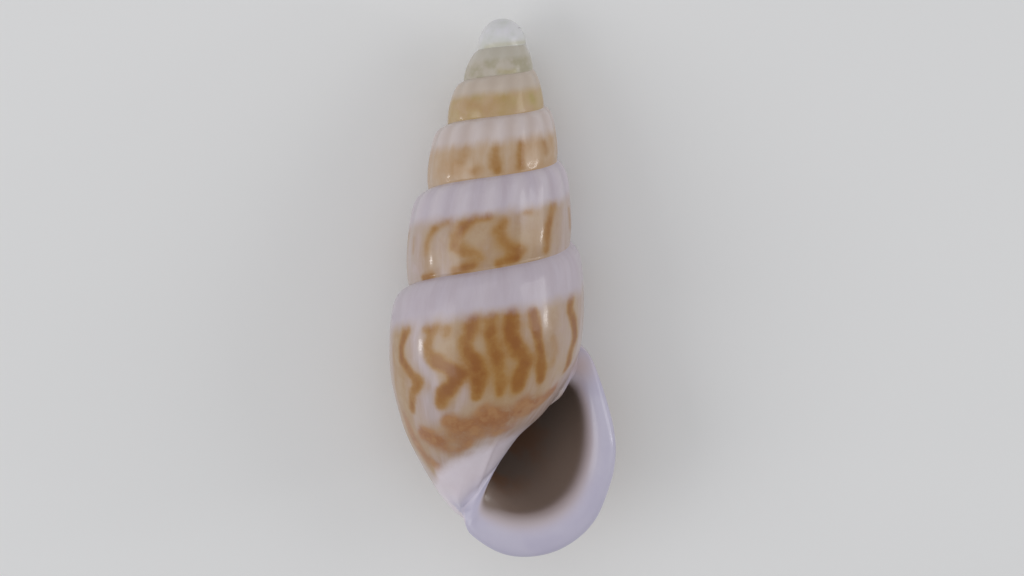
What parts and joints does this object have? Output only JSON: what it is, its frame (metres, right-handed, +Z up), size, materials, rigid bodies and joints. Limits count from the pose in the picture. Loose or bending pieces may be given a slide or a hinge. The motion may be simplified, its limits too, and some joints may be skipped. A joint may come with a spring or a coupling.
{
  "type": "rissoinid shell",
  "caption": "Small tall-spired sea snail shell with rounded whorls, a swollen last whorl and a thick flaring outer lip, lying on its back with the aperture up.",
  "frame": {"origin": "on the surface the shell rests on, under the centre of its bounding box", "axes": "+Y along the shell towards the apex, +X towards the outer lip, +Z up, out of the aperture"},
  "size_m": [0.0034, 0.008, 0.0028],
  "materials": {
    "shell": "glossy natural aragonite, cream to tan with brown flames and a white lip"
  },
  "bodies": {
    "root": {"shell": "shell"}
  },
  "joints": []
}
